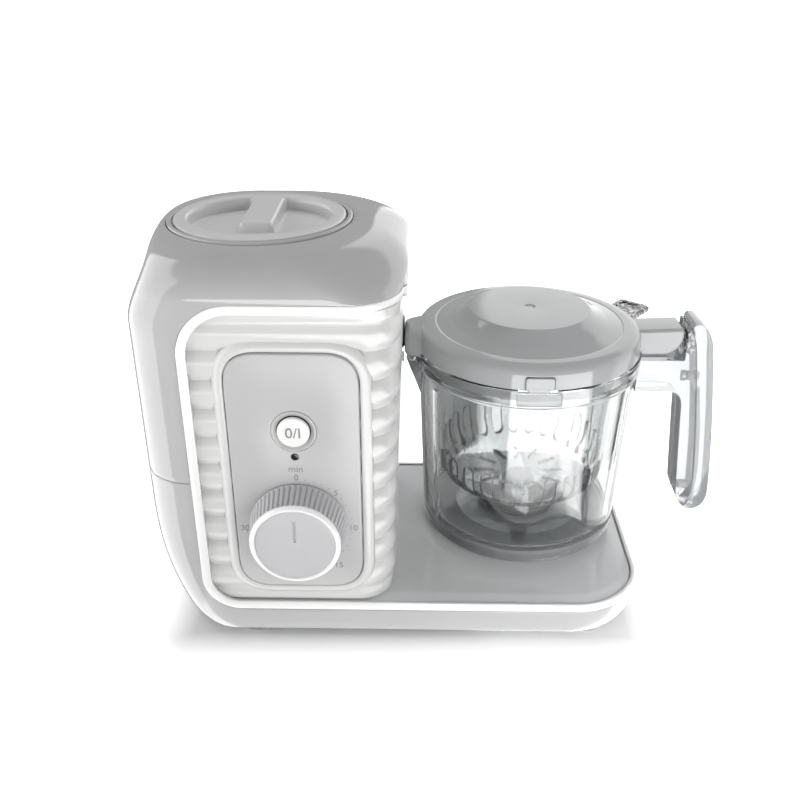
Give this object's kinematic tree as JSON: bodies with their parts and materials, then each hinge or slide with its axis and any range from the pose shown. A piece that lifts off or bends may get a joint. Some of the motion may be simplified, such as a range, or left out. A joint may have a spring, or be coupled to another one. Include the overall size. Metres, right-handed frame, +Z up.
{
  "type": "baby food maker",
  "caption": "Baby food steamer and blender: a grey tower with water tank, timer dial and power button beside a clear jar with steam basket, blades, grey lid and side handle.",
  "frame": {"origin": "centre of the bounding box's footprint, on the table under the feet", "axes": "+X from the tower towards the jar's handle, +Y towards the back, +Z up"},
  "size_m": [0.2836, 0.1548, 0.1955],
  "materials": {
    "grey_plastic": "satin moulded plastic",
    "white_plastic": "smooth moulded plastic",
    "panel_plastic": "satin moulded plastic",
    "deck_plastic": "satin moulded plastic",
    "lid_plastic": "satin moulded plastic",
    "dial_plastic": "silver-grey moulded plastic",
    "dark_plastic": "satin moulded plastic",
    "clear_plastic": "clear moulded plastic",
    "smoke_plastic": "tinted clear plastic",
    "lens_plastic": "dark lens",
    "steel": "brushed",
    "aluminium": "cast",
    "copper": "wound copper wire",
    "bronze": "sintered",
    "dark_rubber": "moulded",
    "pale_silicone": "moulded",
    "board": "laminate"
  },
  "bodies": {
    "housing": {"lower_shell": "grey_plastic", "bottom_plate": "dark_plastic", "rubber_feet": "dark_rubber", "bottom_screws": "steel", "deck_plate": "deck_plastic", "jar_seat": "dark_plastic", "upper_cover": "grey_plastic", "column_cover": "white_plastic", "trim_strip": "white_plastic", "rear_cover": "white_plastic", "rear_screws": "steel", "cord_gland": "dark_rubber", "control_panel": "panel_plastic", "button_bezel": "dial_plastic", "indicator_lens": "lens_plastic", "timer_unit": "dark_plastic", "switch_unit": "dark_plastic", "circuit_board": "board", "tank_collar": "grey_plastic", "water_tank": "white_plastic", "feed_tube": "pale_silicone", "boiler": "aluminium", "steam_tube": "pale_silicone", "steam_outlet": "steel", "outlet_gasket": "dark_rubber", "interlock_switch": "steel", "motor_can": "steel", "motor_bracket": "aluminium", "drive_belt": "dark_rubber", "spindle_bearing": "bronze"},
    "timer_dial": {"dial_knob": "dial_plastic", "dial_ring": "white_plastic", "dial_face": "dial_plastic", "dial_shaft": "steel"},
    "power_switch": {"power_button": "white_plastic", "button_stem": "dark_plastic"},
    "tank_plug": {"tank_seal": "dark_rubber"},
    "tank_cap": {"tank_lid": "lid_plastic"},
    "armature": {"motor_rotor": "copper", "motor_pulley": "aluminium"},
    "drive_shaft": {"drive_spindle": "steel", "driven_pulley": "dark_plastic", "drive_dog": "dark_plastic"},
    "jar": {"jar_body": "clear_plastic", "handle_arm": "clear_plastic", "handle_grip": "clear_plastic", "handle_cover": "smoke_plastic", "handle_screws": "steel", "blade_bush": "bronze"},
    "blade_unit": {"blade_hub": "dark_plastic", "blades": "steel", "blade_socket": "dark_plastic"},
    "basket": {"steam_basket": "clear_plastic"},
    "lid_ring": {"lid_seal": "pale_silicone"},
    "jar_lid": {"lid_body": "lid_plastic", "lid_lock_tab": "dark_plastic", "lid_tab": "clear_plastic"}
  },
  "joints": [
    {"name": "dial_turn", "type": "hinge", "parent": "housing", "child": "timer_dial", "pos_m": [-0.0693, -0.0693, 0.0685], "axis": [0, 1, 0], "range_deg": [0, 270]},
    {"name": "button_press", "type": "slide", "parent": "housing", "child": "power_switch", "axis": [0, 1, 0], "range_m": [0, 0.002], "stiffness_N_per_m": 400, "springref_m": -0.002},
    {"name": "tank_cap_lift", "type": "slide", "parent": "housing", "child": "tank_plug", "axis": [0, 0, 1], "range_m": [0, 0.04]},
    {"name": "tank_cap_turn", "type": "hinge", "parent": "tank_plug", "child": "tank_cap", "pos_m": [-0.08845, 0.00495, 0.184], "axis": [0, 0, 1], "range_deg": [0, 60]},
    {"name": "motor_spin", "type": "hinge", "parent": "housing", "child": "armature", "pos_m": [-0.0558, 0.0367, 0.054], "axis": [0, 0, 1], "continuous": true},
    {"name": "spindle_spin", "type": "hinge", "parent": "housing", "child": "drive_shaft", "pos_m": [0.0402, 0.0207, 0.018], "axis": [0, 0, 1], "continuous": true},
    {"name": "jar_lift", "type": "slide", "parent": "housing", "child": "jar", "axis": [0, 0, 1], "range_m": [0, 0.014]},
    {"name": "blade_spin", "type": "hinge", "parent": "jar", "child": "blade_unit", "pos_m": [0.0402, 0.0207, 0.039], "axis": [0, 0, 1], "continuous": true},
    {"name": "basket_lift", "type": "slide", "parent": "jar", "child": "basket", "axis": [0, 0, 1], "range_m": [0, 0.0112]},
    {"name": "lid_lift", "type": "slide", "parent": "jar", "child": "lid_ring", "axis": [0, 0, 1], "range_m": [0, 0.016]},
    {"name": "lid_turn", "type": "hinge", "parent": "lid_ring", "child": "jar_lid", "pos_m": [0.0402, 0.0207, 0.129], "axis": [0, 0, 1], "range_deg": [0, 40]}
  ],
  "couplings": [
    {"joint": "spindle_spin", "follows": "motor_spin", "ratio": 0.4},
    {"joint": "blade_spin", "follows": "motor_spin", "ratio": 0.4},
    {"joint": "basket_lift", "follows": "lid_lift", "ratio": 0.7}
  ]
}
